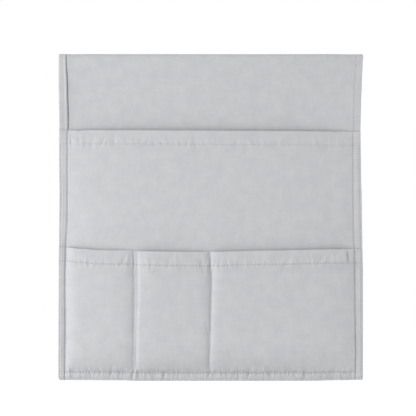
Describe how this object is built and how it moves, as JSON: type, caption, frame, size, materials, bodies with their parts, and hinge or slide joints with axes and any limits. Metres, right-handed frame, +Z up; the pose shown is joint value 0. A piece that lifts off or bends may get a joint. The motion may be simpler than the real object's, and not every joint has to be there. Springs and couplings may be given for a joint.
{
  "type": "armrest organizer",
  "caption": "Hemmed canvas strip that lies over a sofa arm, with a wide magazine pocket and a row of smaller pockets sewn on the end that hangs outside.",
  "frame": {"origin": "middle of the underside of the stretch that lies on top of the arm", "axes": "+Z up, -Y towards the viewer, who faces the pockets, and +X to the viewer's right"},
  "size_m": [0.33, 0.2008, 0.3544],
  "materials": {
    "canvas": "light grey plain-woven cotton canvas",
    "thread": "light grey spun sewing thread"
  },
  "bodies": {
    "saddle": {"saddle_panel": "canvas", "saddle_left_hem": "canvas", "saddle_right_hem": "canvas", "saddle_left_thread": "thread", "saddle_right_thread": "thread"},
    "front_drop": {"front_panel": "canvas", "front_left_hem": "canvas", "front_right_hem": "canvas", "front_bottom_hem": "canvas", "upper_pocket": "canvas", "upper_mouth_hem": "canvas", "lower_pocket": "canvas", "lower_mouth_hem": "canvas", "upper_mouth_thread": "thread", "lower_mouth_thread": "thread", "first_divider_thread": "thread", "second_divider_thread": "thread", "front_left_thread": "thread", "front_right_thread": "thread", "pocket_left_edge_thread": "thread", "pocket_right_edge_thread": "thread", "bottom_seam_thread": "thread", "bottom_edge_thread": "thread"},
    "tail": {"tail_panel": "canvas", "tail_left_hem": "canvas", "tail_right_hem": "canvas", "tail_end_hem": "canvas", "tail_left_thread": "thread", "tail_right_thread": "thread", "tail_end_thread": "thread"}
  },
  "joints": [
    {"name": "front_fold", "type": "hinge", "parent": "saddle", "child": "front_drop", "pos_m": [0, -0.09032, 0.00032], "axis": [-1, 0, 0], "range_deg": [0, 90]},
    {"name": "tail_fold", "type": "hinge", "parent": "saddle", "child": "tail", "pos_m": [0, 0.09032, 0.00032], "axis": [1, 0, 0], "range_deg": [0, 90]}
  ]
}
